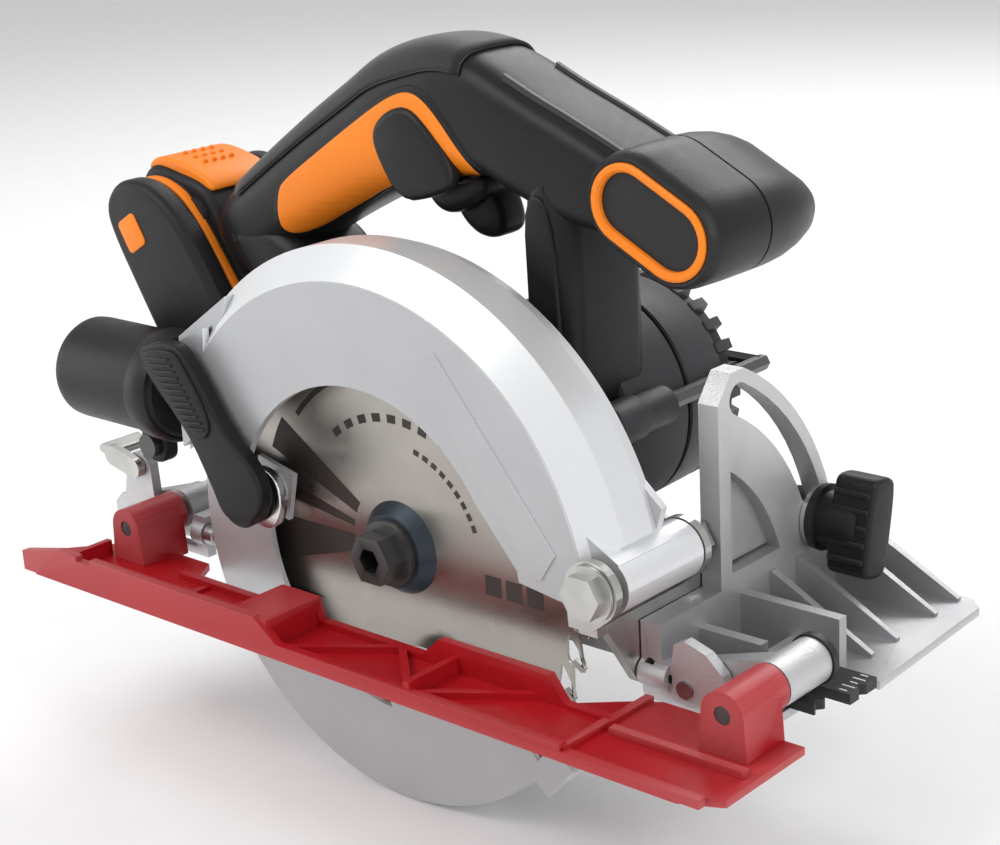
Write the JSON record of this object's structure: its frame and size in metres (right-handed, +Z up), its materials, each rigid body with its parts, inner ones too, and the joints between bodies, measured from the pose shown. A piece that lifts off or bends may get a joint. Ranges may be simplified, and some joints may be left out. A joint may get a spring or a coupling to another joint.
{
  "type": "circular saw",
  "caption": "Cordless circular saw with a tilting base plate, swinging guide rail, spring-closed lower guard, tubular front grip, side motor and slide-off battery.",
  "frame": {"origin": "on the sole plane, straight below the arbor along X and 60 mm from the blade's middle plane towards the motor", "axes": "+X forward in the cutting direction, +Y from the blade towards the motor, +Z up from the sole"},
  "size_m": [0.3218, 0.166, 0.258],
  "materials": {
    "base_alloy": "sand cast, machined sole",
    "link_alloy": "cast, satin",
    "rail_red": "satin red",
    "black_plastic": "fine texture",
    "zinc": "zinc plated",
    "pin_steel": "ground",
    "black_steel": "black oxide",
    "guard_silver": "silver paint",
    "case_alloy": "die cast",
    "flange_steel": "blued",
    "blade_steel": "ground and polished",
    "motor_grey": "fine texture",
    "copper_iron": "laminated steel with copper windings",
    "shell_black": "fine texture",
    "soft_black": "soft touch",
    "orange": "satin",
    "dark_plastic": "moulded",
    "board_green": "lacquered board",
    "battery_grey": "fine texture",
    "cell_wrap": "shrink wrap"
  },
  "bodies": {
    "base": {"base_plate": "base_alloy", "cut_indicator": "black_plastic", "link_pivot_pins": "pin_steel"},
    "front_link": {"front_link": "link_alloy", "front_link_cap": "black_plastic"},
    "rear_link": {"rear_link": "link_alloy"},
    "rail": {"guide_rail": "rail_red", "rail_pins": "pin_steel"},
    "rail_release": {"rail_release_lever": "zinc"},
    "bevel_bracket": {"bevel_pins": "pin_steel", "bevel_yoke": "zinc", "rear_bevel_bracket": "zinc", "bevel_clamp_bolt": "zinc", "bevel_washer": "zinc", "depth_pivot_bolt": "zinc", "depth_pivot_nut": "zinc"},
    "bevel_knob": {"bevel_knob": "black_plastic"},
    "saw": {"upper_guard": "guard_silver", "guard_screws": "black_steel", "dust_port": "black_plastic", "dust_port_screw": "black_steel", "gear_case": "case_alloy", "spindle_bearings": "pin_steel", "motor_bearings": "pin_steel", "motor_stator": "copper_iron", "motor_housing": "motor_grey", "motor_end_cap": "motor_grey", "motor_screws": "black_steel", "left_shell": "shell_black", "right_shell": "shell_black", "shell_screws": "black_steel", "soft_grip": "soft_black", "grip_inlay": "orange", "front_grip_ring": "orange", "switch_module": "dark_plastic", "controller_board": "board_green", "battery_terminal": "dark_plastic", "guard_spring": "pin_steel", "depth_clamp_bolt": "zinc"},
    "depth_clamp": {"depth_clamp_lever": "black_plastic"},
    "spindle": {"spindle": "pin_steel", "spindle_gear": "pin_steel", "inner_flange": "flange_steel", "blade": "blade_steel", "outer_flange": "flange_steel", "blade_bolt": "black_steel"},
    "idler": {"idler_gear": "pin_steel"},
    "rotor": {"armature": "copper_iron", "motor_fan": "dark_plastic"},
    "lower_guard": {"lower_guard": "guard_silver", "guard_lever": "black_plastic", "guard_lever_screw": "black_steel"},
    "spindle_lock": {"spindle_lock": "orange"},
    "trigger": {"trigger": "black_plastic"},
    "lock_off": {"lock_off_button": "orange"},
    "battery": {"battery_case": "battery_grey", "battery_stripes": "orange", "battery_cells": "cell_wrap"},
    "battery_latch": {"battery_latch": "orange"},
    "hex_key": {"hex_key": "black_steel"}
  },
  "joints": [
    {"name": "track_swing", "type": "hinge", "parent": "base", "child": "front_link", "pos_m": [0.118, -0.06, 0.007], "axis": [0, -1, 0], "range_deg": [0, 4]},
    {"name": "rail_level", "type": "hinge", "parent": "front_link", "child": "rail", "pos_m": [0.14755, -0.06, 0.0157], "axis": [0, -1, 0], "range_deg": [-4, 0]},
    {"name": "rear_link_swing", "type": "hinge", "parent": "base", "child": "rear_link", "pos_m": [-0.15, -0.06, 0.007], "axis": [0, -1, 0], "range_deg": [0, 4]},
    {"name": "rail_release_tilt", "type": "hinge", "parent": "base", "child": "rail_release", "pos_m": [-0.14, -0.06, 0.0295], "axis": [0, 1, 0], "range_deg": [0, 6]},
    {"name": "bevel_tilt", "type": "hinge", "parent": "base", "child": "bevel_bracket", "pos_m": [0, -0.058, 0.009], "axis": [1, 0, 0], "range_deg": [0, 45]},
    {"name": "bevel_knob_turn", "type": "hinge", "parent": "bevel_bracket", "child": "bevel_knob", "pos_m": [0.112, 0.02616, 0.03473], "axis": [1, 0, 0], "range_deg": [0, 22]},
    {"name": "depth_swing", "type": "hinge", "parent": "bevel_bracket", "child": "saw", "pos_m": [0.1, -0.06, 0.042], "axis": [0, 1, 0], "range_deg": [0, 25]},
    {"name": "depth_clamp_turn", "type": "hinge", "parent": "saw", "child": "depth_clamp", "pos_m": [-0.04963, -0.035, 0.05246], "axis": [0, 1, 0], "range_deg": [-25, 0]},
    {"name": "blade_spin", "type": "hinge", "parent": "saw", "child": "spindle", "pos_m": [0, -0.06, 0.0275], "axis": [0, 1, 0], "continuous": true},
    {"name": "idler_spin", "type": "hinge", "parent": "saw", "child": "idler", "pos_m": [0.0169, -0.033, 0.0415], "axis": [0, 1, 0], "continuous": true},
    {"name": "motor_spin", "type": "hinge", "parent": "saw", "child": "rotor", "pos_m": [0.024, 0.01, 0.0645], "axis": [0, 1, 0], "continuous": true},
    {"name": "guard_swing", "type": "hinge", "parent": "saw", "child": "lower_guard", "pos_m": [0, -0.06, 0.0275], "axis": [0, 1, 0], "range_deg": [0, 115], "stiffness_Nm_per_rad": 0.08, "springref_deg": -171.89, "deforming": ["guard_spring"]},
    {"name": "spindle_lock_press", "type": "slide", "parent": "saw", "child": "spindle_lock", "axis": [0, -1, 0], "range_m": [0, 0.0016], "stiffness_N_per_m": 600, "springref_m": -0.003},
    {"name": "trigger_pull", "type": "slide", "parent": "saw", "child": "trigger", "axis": [-0.5, 0, 0.866], "range_m": [0, 0.005], "stiffness_N_per_m": 800, "springref_m": -0.004},
    {"name": "lock_off_press", "type": "slide", "parent": "saw", "child": "lock_off", "axis": [0, -1, 0], "range_m": [0, 0.0025], "stiffness_N_per_m": 600, "springref_m": -0.003},
    {"name": "battery_slide", "type": "slide", "parent": "saw", "child": "battery", "axis": [-0.5, 0, 0.866], "range_m": [0, 0.09]},
    {"name": "battery_latch_press", "type": "slide", "parent": "battery", "child": "battery_latch", "axis": [0.5, 0, -0.866], "range_m": [0, 0.002], "stiffness_N_per_m": 600, "springref_m": -0.003},
    {"name": "hex_key_slide", "type": "slide", "parent": "saw", "child": "hex_key", "axis": [0, 1, 0], "range_m": [0, 0.08]}
  ],
  "couplings": [
    {"joint": "rail_level", "follows": "track_swing", "ratio": -1},
    {"joint": "rear_link_swing", "follows": "track_swing", "ratio": 1},
    {"joint": "idler_spin", "follows": "blade_spin", "ratio": -2.1818},
    {"joint": "motor_spin", "follows": "blade_spin", "ratio": 8.7273}
  ]
}
